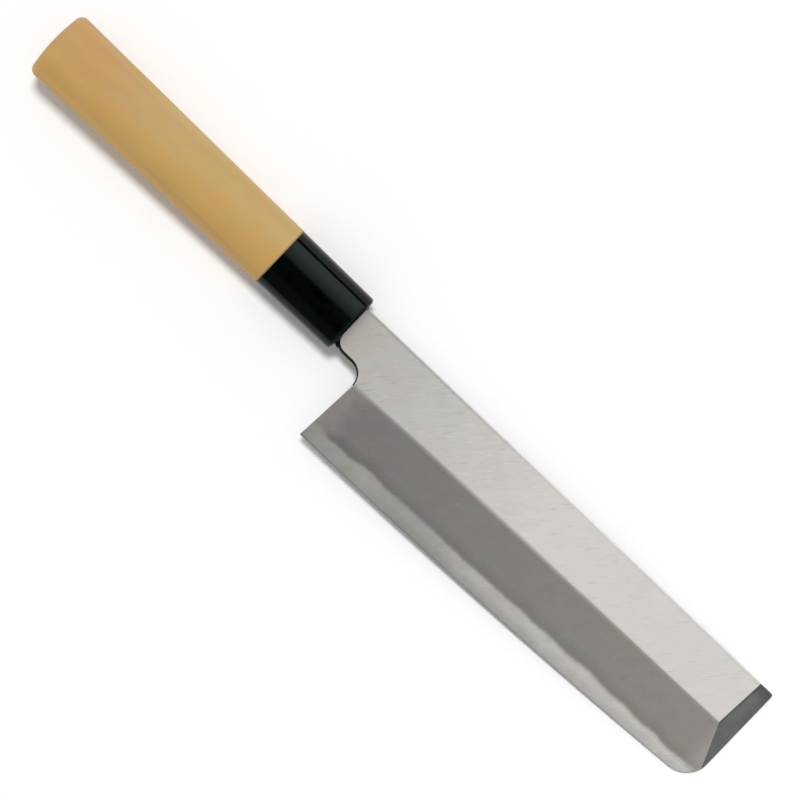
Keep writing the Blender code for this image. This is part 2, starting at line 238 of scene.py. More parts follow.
def through_three(values, share):
    """Reads a smooth curve through three values, given at shares 0, 0.5 and 1."""
    first, middle, last = values
    bow = 2 * (first - 2 * middle + last)
    return first + (last - first - bow) * share + bow * share * share


def along(points, x):
    """Reads a smooth line through a few drawn points."""
    last = len(points) - 2
    i = max(0, min(last, sum(1 for point in points if point[0] <= x) - 1))
    (x0, y0), (x1, y1) = points[i], points[i + 1]
    before = points[i - 1] if i > 0 else points[i]
    after = points[i + 2] if i < last else points[i + 1]
    slope0 = (y1 - before[1]) / (x1 - before[0])
    slope1 = (after[1] - y0) / (after[0] - x0)
    span = x1 - x0
    t = max(0.0, min(1.0, (x - x0) / span))
    return ((2 * t ** 3 - 3 * t ** 2 + 1) * y0 + (t ** 3 - 2 * t ** 2 + t) * span * slope0
            + (3 * t ** 2 - 2 * t ** 3) * y1 + (t ** 3 - t ** 2) * span * slope1)


def thickness(x):
    """The blade's thickness, which falls evenly from the neck to the square end."""
    return neck_thickness + (end_thickness - neck_thickness) * x / blade_end


def cutting_edge(x):
    """The cutting edge's height, a shallow curve from the heel to the tip."""
    return -through_three(edge_depths, (x - heel_reach) / blade_length)


def spine_at(x):
    """The spine's height, rounded off where it meets the square end."""
    into = min(upper_corner_radius, max(0.0, x - blade_end + upper_corner_radius))
    return spine_height - upper_corner_radius + math.sqrt(upper_corner_radius ** 2 - into ** 2)


def outline(x):
    """The blade's lower outline, with the rounded corner of the square end."""
    corner_x = blade_end - tip_corner_radius
    if x <= corner_x:
        return cutting_edge(x)
    slope = (cutting_edge(blade_end) - cutting_edge(corner_x)) / tip_corner_radius
    corner_y = cutting_edge(corner_x) + tip_corner_radius * math.sqrt(1 + slope * slope)
    reach = min(x - corner_x, tip_corner_radius)
    return max(cutting_edge(x), corner_y - math.sqrt(tip_corner_radius ** 2 - reach ** 2))


ridge_points = ((0, -12.9), (14, -12.9), (26, -12.7), (40, -12.2), (56, -11.85), (74, -11.55), (92, -11.25),
                (110, -11.05), (128, -10.85), (146, -10.75), (164, -10.5), (178, -10.25))
weld_points = ((10, -30.7), (16, -30.65), (20, -31.0), (25, -30.55), (29, -30.75), (34, -29.7), (38, -29.45),
               (44, -29.95), (48, -29.65), (56, -29.45), (61, -29.3), (66, -29.15), (70, -29.3), (73, -29.15),
               (78, -29.35), (83, -28.9), (91, -28.7), (96, -28.6), (102, -28.15), (107, -28.35),
               (114, -27.9), (121, -28.1), (128, -27.45), (131, -27.3), (139, -27.8), (146, -27.35),
               (153, -27.8), (159, -27.2), (164, -27.8), (170, -27.3), (178, -27.1))
weld_ripple = ((0.05, 3.7, 0.3), (0.04, 2.3, 1.9), (0.03, 1.3, 4.0))


def ridge(x):
    """The height of the ridge between the flat and the bevel."""
    return along(ridge_points, x)


def weld_line(x):
    """Where the weld comes out on the bevel, with the small ripples that forging leaves."""
    return along(weld_points, x) + sum(size * math.sin(x / length * 2 * math.pi + phase)
                                       for size, length, phase in weld_ripple)


def bevel_level(x, y):
    """Height of the bevel's face, a straight slope from the ridge to the edge."""
    edge = cutting_edge(x)
    rise = (thickness(x) - edge_thickness) / (ridge(x) - edge)
    return back + edge_thickness + rise * (y - edge)


def weld_section(x):
    """The weld across the blade, from the line on the bevel, or the outline past it, to the spine."""
    mean = -through_three(weld_depths, (x - heel_reach) / blade_length)
    level = bevel_level(x, mean)
    wavy = weld_line(x)
    inner = mean + weld_lip
    low = max(wavy, outline(x))
    share = min(1.0, max(0.0, (low - wavy) / (inner - wavy)))
    return [(low, bevel_level(x, wavy) * (1 - share) + level * share), (inner, level), (spine_height, level)]


def hollow(x, share):
    """Depth of the hollow back, at a share of the way across from the edge's rim to the spine's."""
    inside = min(x - heel_reach - edge_rim, blade_end - end_rim - x) / hollow_run_out
    return hollow_depth * math.sin(min(1.0, max(0.0, inside)) * math.pi / 2) * 4 * share * (1 - share)


def spread(start, end, count):
    """Even steps from start up to, and not with, end."""
    return [start + (end - start) * i / count for i in range(count)]


def blade_stations(start):
    """Places of the sections: even along the blade, closer round the tip's corner."""
    corner_x = blade_end - tip_corner_radius
    turns = [math.pi / 2 * i / 28 for i in range(29)]
    return spread(start, corner_x, 210) + [corner_x + tip_corner_radius * math.sin(turn) for turn in turns]


def steel_section(x):
    """Points (y, z) round the steel, each with the finish of the face that follows it."""
    low = outline(x)
    (face_top, face_level), (inner, inner_level), (_, spine_level) = weld_section(x)
    fine_height = min(fine_bevel, face_top - low)
    spine = spine_at(x)
    points = [(spine, spine_level, 1), (inner, inner_level, 1)]
    for y in spread(face_top, low + fine_height, 5):
        points.append((y, min(bevel_level(x, y), face_level), 0))
    for share, drop in ((1.0, 0.0), (0.5, fine_bevel_drop / 4)):
        y = low + fine_height * share
        points.append((y, min(bevel_level(x, y), face_level) - drop, 0))
    points.append((low, min(bevel_level(x, low) - fine_bevel_drop, face_level), 0))
    points.append((low, back, 1))
    rim_low, rim_high = low + edge_rim, spine_height - spine_rim
    for share in spread(0.0, 1.0, 18):
        points.append((rim_low + (rim_high - rim_low) * share, back + hollow(x, share), 1))
    points += [(rim_high, back, 1), (spine, back, 1)]
    return [(x, y, z, finish) for y, z, finish in points]


def skin(name, rings, finishes):
    """Skins rings of equally many points, each (x, y, z, finish), into a closed mesh with those finishes."""
    mesh = bmesh.new()
    levels = [[mesh.verts.new(point[:3]) for point in ring] for ring in rings]
    count = len(rings[0])
    for ring, near, far in zip(rings, levels, levels[1:]):
        for i in range(count):
            j = (i + 1) % count
            face = mesh.faces.new((near[i], near[j], far[j], far[i]))
            face.material_index = int(ring[i][3])
    for end in (levels[0], levels[-1]):
        face = mesh.faces.new(end)
        face.material_index = int(rings[0][0][3])
    bmesh.ops.remove_doubles(mesh, verts=mesh.verts, dist=merge_distance)
    bmesh.ops.dissolve_degenerate(mesh, edges=mesh.edges, dist=merge_distance)
    bmesh.ops.recalc_face_normals(mesh, faces=mesh.faces)
    data = bpy.data.meshes.new(name)
    mesh.to_mesh(data)
    mesh.free()
    for finish in finishes:
        data.materials.append(finish)
    piece = bpy.data.objects.new(name, data)
    scene.collection.objects.link(piece)
    return piece


def cut(piece, tool, operation="DIFFERENCE"):
    """Cuts one shape by another, or joins them, and keeps the result as a plain mesh."""
    modifier = piece.modifiers.new("cut", "BOOLEAN")
    modifier.operation = operation
    modifier.solver = "EXACT"
    modifier.material_mode = "TRANSFER"
    modifier.object = tool
    bpy.context.view_layer.update()
    result = bpy.data.meshes.new_from_object(piece.evaluated_get(bpy.context.evaluated_depsgraph_get()))
    piece.modifiers.clear()
    old = piece.data
    piece.data = result
    bpy.data.meshes.remove(old)


neck_start = 0.47
neck_underside = -8.55
shoulder_radius = 4.15
choil_radius = 4.9
choil_side = 13.65
heel_base = -46.2
heel_line = ((13.55, -18.0), (13.3, -23.0), (12.95, -29.0), (12.45, -36.0), (11.6, heel_base))
chamfer_width = 0.9
chamfer_depth = 1.5
back_chamfer = 0.15
sideways_share = 0.35
heel_share = 0.7
ground_below = -13.2


def choil_outline(grow):
    """What is cut away below the neck and behind the heel, widened by the chamfer, most of it upwards."""
    side_grow = grow * sideways_share
    points = []
    for i in range(25):
        angle = math.pi * (1 + i / 48)
        points.append((neck_start + shoulder_radius + (shoulder_radius - side_grow) * math.cos(angle),
                       neck_underside + shoulder_radius + (shoulder_radius - grow) * math.sin(angle)))
    radius = choil_radius + grow
    for i in range(29):
        angle = math.pi / 2 * (1 - i / 28)
        points.append((choil_side + side_grow - radius * (1 - math.cos(angle)),
                       neck_underside + grow - radius * (1 - math.sin(angle))))
    points += [(x + side_grow * heel_share, y) for x, y in heel_line]
    inside_ferrule = neck_start - 0.5
    return points + [(inside_ferrule, heel_base), (inside_ferrule, neck_underside + shoulder_radius)]


def choil_cutter(black_painted_shade, ground):
    """A prism of that outline, flared at the top into the soft chamfer, black as painted shade but for the
    ground heel.
    """
    top = back + thickness(heel_reach)
    levels = [(back - 1.0, back_chamfer), (back, back_chamfer)]
    levels += [(back + 0.25, 0.0), (top - chamfer_depth, 0.0)]
    for degrees in (20, 35, 50, 65, 78, 90):
        fall = chamfer_depth * math.cos(math.radians(degrees))
        levels.append((top - fall, chamfer_width * (degrees / 90) ** 1.25))
    levels.append((top + 0.5, chamfer_width + 0.15))
    # Painted shade: the chamfer under the neck is black, and turns to ground steel at the heel, below
    # ground_below.
    rings = [[(x, y, z, int(y < ground_below)) for x, y in choil_outline(grow)] for z, grow in levels]
    return skin("choil_cutter", rings, [black_painted_shade, ground])


def knife_position(tree):
    """The shaded point in the knife's own millimetres, as a vector socket."""
    mapping = tree.nodes.new("ShaderNodeMapping")
    back_turn = knife.inverted()
    mapping.inputs["Location"].default_value = back_turn.to_translation()
    mapping.inputs["Rotation"].default_value = turn.inverted().to_euler()
    mapping.inputs["Scale"].default_value = (1000, 1000, 1000)
    tree.links.new(output(tree, "ShaderNodeTexCoord", "Object").socket, mapping.inputs["Vector"])
    return mapping.outputs["Vector"]


def grain(tree, position, size, turned=0.0, detail=3.0, roughness=0.55, seed=0.0):
    """Noise between 0 and 1, its spots of the given lengths in millimetres, turned in the blade's plane."""
    mapping = tree.nodes.new("ShaderNodeMapping")
    mapping.vector_type = "TEXTURE"
    mapping.inputs["Rotation"].default_value = (0, 0, math.radians(turned))
    mapping.inputs["Scale"].default_value = size
    tree.links.new(position, mapping.inputs["Vector"])
    noise = tree.nodes.new("ShaderNodeTexNoise")
    noise.noise_dimensions = "4D"
    noise.inputs["W"].default_value = seed
    noise.inputs["Scale"].default_value = 1.0
    noise.inputs["Detail"].default_value = detail
    noise.inputs["Roughness"].default_value = roughness
    tree.links.new(mapping.outputs["Vector"], noise.inputs["Vector"])
    return Field(tree, noise.outputs["Fac"])


def coordinates(tree, position):
    """The x, y and z of a vector socket, as numbers."""
    node = tree.nodes.new("ShaderNodeSeparateXYZ")
    tree.links.new(position, node.inputs[0])
    return tuple(Field(tree, socket) for socket in node.outputs)


def tinted(tree, tone, tint):
    """A colour of the given brightness in the given tint."""
    node = tree.nodes.new("ShaderNodeCombineColor")
    for socket, part in zip(node.inputs, tint):
        tree.links.new((tone * part).socket, socket)
    return node.outputs[0]


def steel_finish(name, tones, roughness, tint, scratches, mottle, shade=None, blush=0.0, reach=None):
    """Ground steel: tones at heel and tip, the rise towards the tip being painted light, scratches by angle,
    length, width and strength, mottle by size and strength."""
    material = bpy.data.materials.new(name)
    material.use_nodes = True
    tree = material.node_tree
    shader = tree.nodes["Principled BSDF"]
    shader.inputs["Metallic"].default_value = 1.0
    position = knife_position(tree)
    x, y, _ = coordinates(tree, position)
    angle, length, width, strength = scratches
    lines = grain(tree, position, (length, width, 1.0), angle, 2.0, 0.6, seed=3.0)
    fine = grain(tree, position, (length * 0.5, width * 0.4, 1.0), angle + 4, 2.0, 0.6, seed=8.0)
    marks = grain(tree, position, (length, width * 1.1, 1.0), angle - 3, 1.0, 0.5, seed=17.0).ramp(0.62, 0.72)
    dull_marks = grain(tree, position, (length * 0.9, width, 1.0), angle + 3, 1.0, 0.5, seed=27.0)
    dull_marks = dull_marks.ramp(0.62, 0.72)
    size, patchy = mottle
    patches = grain(tree, position, (size, size * 0.7, size), 20, 4.0, 0.6, seed=5.0)
    start, end = reach or (heel_reach, blade_end)
    # Painted light: the tone rises from the heel to the tip, as if more light fell towards the tip.
    tone = x.ramp(start, end, tones[0], tones[1], smooth=False)
    tone = tone * ((lines - 0.5) * strength + (fine - 0.5) * strength + (patches - 0.5) * patchy + 1)
    worked = grain(tree, position, (16, 9, 9), 40, 2.0, 0.5, seed=31.0).ramp(0.40, 0.62, 0.25, 1.0)
    tone = tone * ((marks - dull_marks) * worked * (strength * 0.9) + 1)
    if shade:
        tone = tone * shade(tree, x, y)
    tone = tone.math("MINIMUM", 1.0)
    near_neck = x.ramp(13.0, 1.0, 1.0, 3.5)
    pink = (grain(tree, position, (7, 5, 5), 35, 3.0, 0.5, seed=21.0) - 0.5) * near_neck
    olive = (grain(tree, position, (8, 5, 5), -20, 3.0, 0.5, seed=23.0) - 0.5) * near_neck
    olive = olive + x.ramp(15.0, 4.0) * x.ramp(1.0, 4.5, 0.5, 1.5) * y.ramp(6.5, 1.0, 0.3, 1.0)
    colour = tree.nodes.new("ShaderNodeCombineColor")
    for socket, part, pinker, greener in zip(colour.inputs, tint, (0.25, -1.0, -0.35), (0.2, 0.2, -1.0)):
        stain = pink * (blush * pinker) + olive * (blush * greener) + 1
        tree.links.new((tone * stain * part).socket, socket)
    tree.links.new(colour.outputs[0], shader.inputs["Base Color"])
    rough = (lines - 0.5) * 0.10 + (patches - 0.5) * 0.08 + roughness
    tree.links.new(rough.socket, shader.inputs["Roughness"])
    bump = tree.nodes.new("ShaderNodeBump")
    bump.inputs["Strength"].default_value = 1.0
    bump.inputs["Distance"].default_value = 0.0000012
    tree.links.new((lines + fine * 0.8).socket, bump.inputs["Height"])
    tree.links.new(bump.outputs["Normal"], shader.inputs["Normal"])
    return material


def edge_band_shade(tree, x, y):
    """Duller at the heel, greyer on the fine edge bevel and just above it, and blurred along the weld. The
    grey of the fine edge bevel is partly painted shade, for the shadow line along the cutting edge.
    """
    above_edge = output(tree, "ShaderNodeAttribute", "Fac", attribute_name="above_edge")
    below_weld = output(tree, "ShaderNodeAttribute", "Fac", attribute_name="below_weld")
    # Partly painted shade: the fine edge bevel is darkened to stand for the shadow line along the cutting
    # edge.
    tone = above_edge.ramp(0.0, 0.8, x.ramp(40, 120, 0.69, 0.80), 1.0)
    tone = tone * above_edge.ramp(0.8, 4.5, x.ramp(40, 65, 0.94, 0.83), 1.0)
    deepest = x.ramp(90, 150, 0.83, 0.74) + x.ramp(20, 13, 0.0, 0.15)
    blur = below_weld.ramp(0.0, x.ramp(90, 150, 0.85, 1.4), deepest, 1.0)
    dull_part = (x - 57).math("ABSOLUTE").ramp(24, 4, 1.0, 0.90)
    return tone * blur * dull_part * x.ramp(12, 20, 0.93, 1.0)


def mark(piece, name, reading):
    """Stores a number on each point of a piece, read from its place on the knife."""
    values = piece.data.attributes.new(name, "FLOAT", "POINT")
    for vertex, value in zip(piece.data.vertices, values.data):
        value.value = reading(vertex.co.x, vertex.co.y)


def lay_on_table(piece, smooth_angle=32.0, crisp_angle=11.0):
    """Shades the piece, smooth but for its sharp lines and those between two finishes, and lays it down."""
    mesh = bmesh.new()
    mesh.from_mesh(piece.data)
    for edge in mesh.edges:
        if len(edge.link_faces) != 2:
            continue
        first, second = edge.link_faces
        angle = math.degrees(first.normal.angle(second.normal, 0.0))
        two_finishes = first.material_index != second.material_index
        edge.smooth = not (angle > smooth_angle or (two_finishes and angle > crisp_angle))
    for face in mesh.faces:
        face.smooth = True
    mesh.to_mesh(piece.data)
    mesh.free()
    piece.data.transform(knife)
    piece.data.update()


steel_tint = (1.0, 0.985, 0.965)
edge_band = steel_finish("edge_band", tones=(0.515, 0.985), roughness=0.50, tint=(1.0, 0.96, 0.91),
                         scratches=(50, 7.0, 0.6, 0.12), mottle=(5.0, 0.28), shade=edge_band_shade,
                         blush=0.12)
hollow_back = steel_finish("hollow_back", tones=(0.62, 0.66), roughness=0.30, tint=steel_tint,
                           scratches=(90, 30.0, 0.25, 0.10), mottle=(12.0, 0.08))
# Black forge scale for the hidden tang. On the chamfer under the neck the same black is painted shade.
scale_and_painted_shade = steel_finish("forge_scale_and_painted_shade", tones=(0.016, 0.016), roughness=0.70, tint=(1.0, 0.98, 0.95),
                           scratches=(0, 1.5, 1.0, 0.3), mottle=(1.5, 0.5))
shader = scale_and_painted_shade.node_tree.nodes["Principled BSDF"]
shader.inputs["Metallic"].default_value = 0.0
shader.inputs["Specular IOR Level"].default_value = 0.12
hard_steel = skin("hard_steel_edge", [steel_section(x) for x in blade_stations(steel_start)],
                  [edge_band, hollow_back])
choil_tool = choil_cutter(scale_and_painted_shade, hollow_back)
cut(hard_steel, choil_tool)
mark(hard_steel, "above_edge", lambda x, y: y - outline(x))
mark(hard_steel, "below_weld", lambda x, y: weld_line(x) - y)
lay_on_table(hard_steel)
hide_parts("blade_hard_steel")
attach(hard_steel, "root")


# Soft iron
# The body of the blade: a bright ground flat, a dull bevel below the ridge, the neck, and the tang that is
# driven into the handle. The square end has its own dark bevel. The chamfer under the neck is black as
# painted shade, and the tang is black with forge scale.
end_bevel_at_spine = 5.5
end_bevel_at_ridge = 6.7
end_land = 1.3
spine_round = 0.28
neck_corner = 0.9
ridge_worn = 0.12
ridge_worn_depth = 0.006
ridge_margin = 0.35
tang_root = 4.0
tang_straight_end = -88.0
tang_point = -95.0
tang_root_width = 9.8
tang_point_width = 5.4
tang_root_thickness = 3.4
tang_point_thickness = 2.2


def iron_section(x, welded):
    """Points (y, z) round the iron, each with the finish of the face that follows it."""
    top = back + thickness(x)
    into = max(0.0, neck_start + neck_corner - x)
    spine = spine_at(x) - neck_corner + math.sqrt(max(0.0, neck_corner ** 2 - into ** 2))
    edge_of_flat = ridge(x)
    points = []
    for degrees in (0, 22.5, 45, 67.5, 90):
        angle = math.radians(degrees)
        points.append((spine - spine_round * (1 - math.cos(angle)), top - spine_round * (1 - math.sin(angle)),
                       0 if degrees == 90 else 2))
    points.append((spine - 0.6, top, 0))
    points += [(y, top, 0) for y in spread(spine - 2.0, edge_of_flat + ridge_margin, 6)]
    points += [(edge_of_flat + ridge_margin, top, 0), (edge_of_flat + ridge_worn, top, 0)]
    points.append((edge_of_flat, top - ridge_worn_depth, 0))
    weld = weld_section(x)
    if not welded:
        weld = [(y, back) for y, _ in weld]
    low = weld[0][0]
    points.append((edge_of_flat - ridge_worn, bevel_level(x, edge_of_flat - ridge_worn), 1))
    points += [(y, bevel_level(x, y), 1) for y in spread(edge_of_flat - ridge_margin, low, 9)]
    points.append((low, bevel_level(x, low), 2))
    points += [(y, z, 2) for y, z in weld[:2]]
    points.append((spine, weld[2][1], 2))
    points.append((spine, top - 2 * spine_round if welded else back + 0.3, 2))
    return [(x, y, z, finish) for y, z, finish in points]


def end_bevel_cutter(finish):
    """A block that lies on the plane of the end bevel."""
    start_x = blade_end - end_bevel_at_spine
    at_spine = Vector((start_x, spine_height, back + thickness(start_x)))
    ridge_x = blade_end - end_bevel_at_ridge
    at_ridge = Vector((ridge_x, ridge(ridge_x), back + thickness(ridge_x)))
    low = Vector((blade_end, spine_height, back + end_land))
    across_blade = (at_ridge - at_spine).normalized()
    down = (low - at_spine).normalized()
    wide = 40.0
    overlap = 10.0
    corners = [at_spine + across_blade * a + down * d
               for a, d in ((-wide, -overlap), (wide, -overlap), (wide, wide), (-wide, wide))]
    rings = [[(corner.x, corner.y, corner.z + rise, 0) for corner in corners] for rise in (0.0, wide)]
    return skin("end_bevel_cutter", rings, [finish])


def rectangle(x, half_height, half_depth):
    """A rectangle across X, for the tang and the openings round it."""
    return [(x, y * half_height, z * half_depth, 0) for y, z in ((1, -1), (1, 1), (-1, 1), (-1, -1))]


def tang_rings(grow, start):
    """The tang, from its root in the neck to its point, or the slot round it."""
    rings = []
    for x, share in ((start, 1.0), (tang_straight_end, 1.0), (tang_point - grow * 10, 0.5)):
        slim = (tang_root - x) / (tang_root - tang_point)
        width = tang_root_width + (tang_point_width - tang_root_width) * slim
        thick = tang_root_thickness + (tang_point_thickness - tang_root_thickness) * slim
        rings.append(rectangle(x, width / 2 * share + grow, thick / 2 * share + grow))
    return rings


def bevel_shade(tree, x, y):
    """Painted light by the heel line, paler at the tip end and by the ridge, and darkest just above the weld
    near the heel.
    """
    above_weld = output(tree, "ShaderNodeAttribute", "Fac", attribute_name="above_weld")
    below_ridge = output(tree, "ShaderNodeAttribute", "Fac", attribute_name="below_ridge")
    from_heel = x + (grain(tree, knife_position(tree), (5, 5, 5), 0, 3.0, 0.5, seed=33.0) - 0.5) * 10
    # Painted light: the bevel is drawn paler by the heel line. It is also paler at the tip end.
    painted_heel_light = from_heel.ramp(15.0, 23.0, 1.24, 1.0) * x.ramp(169, 176, 1.0, 1.25)
    ridge_line = below_ridge.ramp(0.1, 1.4, x.ramp(35, 65, 1.45, 1.72) * x.ramp(85, 145, 1.0, 0.70), 1.0)
    weld_dark = 1 - above_weld.ramp(0.2, 5.0, 0.22, 0.0) * x.ramp(20, 60, 1.0, 0.6) * from_heel.ramp(14, 23)
    weld_blur = above_weld.ramp(0.0, 1.0, x.ramp(13, 22, 1.04, 1.34), 1.0)
    return painted_heel_light * ridge_line * weld_dark * weld_blur


def flat_shade(tree, x, y):
    """Painted shade: darker along the ridge, and a dull line along the spine that fades towards the tip."""
    above_ridge = output(tree, "ShaderNodeAttribute", "Fac", attribute_name="below_ridge") * -1
    # Painted shade along the spine, fading towards the tip.
    painted_spine_shade = y.ramp(6.1, 6.8) * y.ramp(7.15, 6.95) * x.ramp(30, 75, 0.20, 0.06)
    # Painted shade darkens the flat next to the ridge.
    return above_ridge.ramp(0.0, 0.6, 0.84, 1.0) * (1 - painted_spine_shade)


def end_shade(tree, x, y):
    """Darker along its borders with the flat, the spine and the square end."""
    border_slant = 0.066
    border_x = 171.84
    inward = x - y * border_slant - border_x
    right = inward.ramp(2.5, 5.0) * y.ramp(-12.0, -5.0) * 0.14
    tone = y.ramp(2.0, 6.6, 1.0, 0.72) * y.ramp(-14.0, -8.0, 0.90, 1.0)
    return tone * inward.ramp(0.2, 1.1, 0.80, 1.08) * (1 - right)


flat_ground = steel_finish("ground_flat", tones=(0.705, 0.99), roughness=0.46, tint=(1.0, 0.957, 0.917),
                           scratches=(47, 6.0, 0.65, 0.12), mottle=(8.0, 0.10), shade=flat_shade, blush=0.05,
                           reach=(0.0, 90.0))
dull_bevel = steel_finish("dull_bevel", tones=(0.335, 0.455), roughness=0.58, tint=(1.0, 0.94, 0.885),
                          scratches=(50, 4.0, 0.7, 0.08), mottle=(4.0, 0.18), shade=bevel_shade, blush=0.21)
spine_ground = steel_finish("ground_spine", tones=(0.66, 0.66), roughness=0.38, tint=steel_tint,
                            scratches=(90, 20.0, 0.3, 0.12), mottle=(6.0, 0.10))
end_ground = steel_finish("end_bevel", tones=(0.21, 0.21), roughness=0.40, tint=(0.96, 1.0, 0.96),
                          scratches=(80, 6.0, 0.5, 0.14), mottle=(4.0, 0.50), shade=end_shade, blush=0.2)
corner_turns = [math.radians(15 * i) for i in range(7)]
neck_stations = [neck_start + neck_corner * (1 - math.cos(turn)) for turn in corner_turns]
neck_stations += spread(2.0, steel_start, 12) + [steel_start]
iron_rings = [iron_section(x, False) for x in neck_stations]
iron_rings += [iron_section(x, True) for x in blade_stations(steel_start)]
soft_iron = skin("soft_iron_blade", iron_rings, [flat_ground, dull_bevel, spine_ground])
tang = skin("tang", tang_rings(0.0, tang_root), [scale_and_painted_shade])
cut(soft_iron, tang, "UNION")
cut(soft_iron, choil_tool)
end_tool = end_bevel_cutter(end_ground)
cut(soft_iron, end_tool)
mark(soft_iron, "above_weld", lambda x, y: y - weld_line(x))
mark(soft_iron, "below_ridge", lambda x, y: ridge(x) - y)
for tool in (choil_tool, end_tool, tang):
    bpy.data.objects.remove(tool)
seal_fit = soft_iron.copy()
seal_fit.data = soft_iron.data.copy()
seal_fit.data.materials.clear()
lay_on_table(soft_iron)
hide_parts("blade_soft_iron")
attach(soft_iron, "root")


# Wooden handle
# Magnolia wood, planed and sanded to a D with one ridge on the bevelled side, a little thicker at the butt,
# and left bare. A tenon carries the ferrule, and the tang sits in a slot that is burnt into it.
section_power = 2.15
# Between these two angles in degrees the oval gives way to two flats, which meet in the ridge.
ridge_flats = (36.0, 61.0)
ferrule_length = 30.6
handle_length = 129.0
joint_height = 21.9
joint_depth = 18.0
butt_height = 24.3
butt_depth = 19.6
tenon_length = 21.0
tenon_height = 15.4
tenon_depth = 11.8
inside_wood = 10.0
fit_gap = 0.3
ridge_softness = 0.07
joint_rounding = 0.12


def oval(degrees):
    """A point of the full oval, as shares of its half height and half depth."""
    power = 2 / section_power
    cosine, sine = math.cos(math.radians(degrees)), math.sin(math.radians(degrees))
    return math.copysign(abs(cosine) ** power, cosine), math.copysign(abs(sine) ** power, sine)


def grip_tree():
    """Geometry nodes that turn a flat grid into a bar of D-shaped section with rounded ends, laid along X."""
    tree = bpy.data.node_groups.new("d_section_bar", "GeometryNodeTree")
    sizes = ("Front", "Length", "Front height", "Back height", "Front depth", "Back depth", "Front rounding",
             "Back rounding", "Back dome", "Ridge softness")
    counts = ("Points round", "Points along")
    tree.interface.new_socket("Geometry", in_out="OUTPUT", socket_type="NodeSocketGeometry")
    for name in sizes:
        tree.interface.new_socket(name, in_out="INPUT", socket_type="NodeSocketFloat")
    for name in counts:
        tree.interface.new_socket(name, in_out="INPUT", socket_type="NodeSocketInt")
    tree.interface.new_socket("Finish", in_out="INPUT", socket_type="NodeSocketMaterial")
    given = tree.nodes.new("NodeGroupInput")
    front, length, height0, height1, depth0, depth1, round0, round1, dome, softness = (
        Field(tree, given.outputs[name]) for name in sizes)
    last_row = Field(tree, given.outputs["Points along"]) - 1

    grid = tree.nodes.new("GeometryNodeMeshGrid")
    tree.links.new(given.outputs["Points round"], grid.inputs["Vertices X"])
    tree.links.new(given.outputs["Points along"], grid.inputs["Vertices Y"])
    spot = tree.nodes.new("ShaderNodeSeparateXYZ")
    tree.links.new(output(tree, "GeometryNodeInputPosition", "Position").socket, spot.inputs[0])
    row = (Field(tree, spot.outputs["Y"]) + 0.5) * last_row

    cap_rows = 5
    round_rows = 8
    edge_rows = cap_rows + round_rows
    quarter = math.pi / 2
    front_share = row.ramp(0, cap_rows, smooth=False)
    front_turn = row.ramp(cap_rows, edge_rows, 0.0, quarter, smooth=False)
    body = row.ramp(edge_rows, last_row - edge_rows, smooth=False)
    back_turn = row.ramp(last_row - edge_rows, last_row - cap_rows, 0.0, quarter, smooth=False)
    back_share = row.ramp(last_row - cap_rows, last_row, 1.0, 0.0, smooth=False)
    straight = length - dome - round0 - round1
    far = (1 - front_turn.math("COSINE")) * round0 + straight * body + back_turn.math("SINE") * round1
    inset = (1 - front_turn.math("SINE")) * round0 + (1 - back_turn.math("COSINE")) * round1
    share = far / length
    half_height = (height0 + (height1 - height0) * share) * 0.5 - inset
    half_depth = (depth0 + (depth1 - depth0) * share) * 0.5 - inset
    far = far + (1 - back_share * back_share) * dome

    (y1, z1), (y2, z2) = (oval(degrees) for degrees in ridge_flats)
    a1, b1, a2, b2 = (value ** (section_power - 1) for value in (y1, z1, y2, z2))
    cross = a1 * b2 - b1 * a2
    ridge_turn = math.atan2((a1 - a2) / cross, (b2 - b1) / cross)
    crowding = 0.8
    wave = Field(tree, spot.outputs["X"]) * (2 * math.pi)
    angle = wave - wave.math("SINE") * crowding + ridge_turn
    cosine, sine = angle.math("COSINE"), angle.math("SINE")
    power = section_power
    round_reach = (cosine.math("ABSOLUTE") ** power + sine.math("ABSOLUTE") ** power) ** (-1 / power)
    upper_reach = (cosine * a1 + sine * b1) ** -1.0
    lower_reach = (cosine * a2 + sine * b2) ** -1.0
    ridge_reach = upper_reach.math("SMOOTH_MIN", lower_reach, softness)
    on_flats = angle.math("GREATER_THAN", math.atan2(z1, y1)) * angle.math("LESS_THAN", math.atan2(z2, y2))
    reach = (round_reach + (ridge_reach - round_reach) * on_flats) * front_share * back_share

    move = tree.nodes.new("GeometryNodeSetPosition")
    spot_to = tree.nodes.new("ShaderNodeCombineXYZ")
    ring_point = (front - far, cosine * reach * half_height, sine * reach * half_depth)
    for socket, value in zip(spot_to.inputs, ring_point):
        tree.links.new(value.socket, socket)
    tree.links.new(grid.outputs["Mesh"], move.inputs["Geometry"])
    tree.links.new(spot_to.outputs[0], move.inputs["Position"])
    merge = tree.nodes.new("GeometryNodeMergeByDistance")
    merge.inputs["Distance"].default_value = merge_distance
    tree.links.new(move.outputs["Geometry"], merge.inputs["Geometry"])
    realize = tree.nodes.new("GeometryNodeRealizeInstances")
    tree.links.new(merge.outputs["Geometry"], realize.inputs["Geometry"])
    finish = tree.nodes.new("GeometryNodeSetMaterial")
    tree.links.new(realize.outputs["Geometry"], finish.inputs["Geometry"])
    tree.links.new(given.outputs["Finish"], finish.inputs["Material"])
    result = tree.nodes.new("NodeGroupOutput")
    tree.links.new(finish.outputs["Geometry"], result.inputs["Geometry"])
    return tree


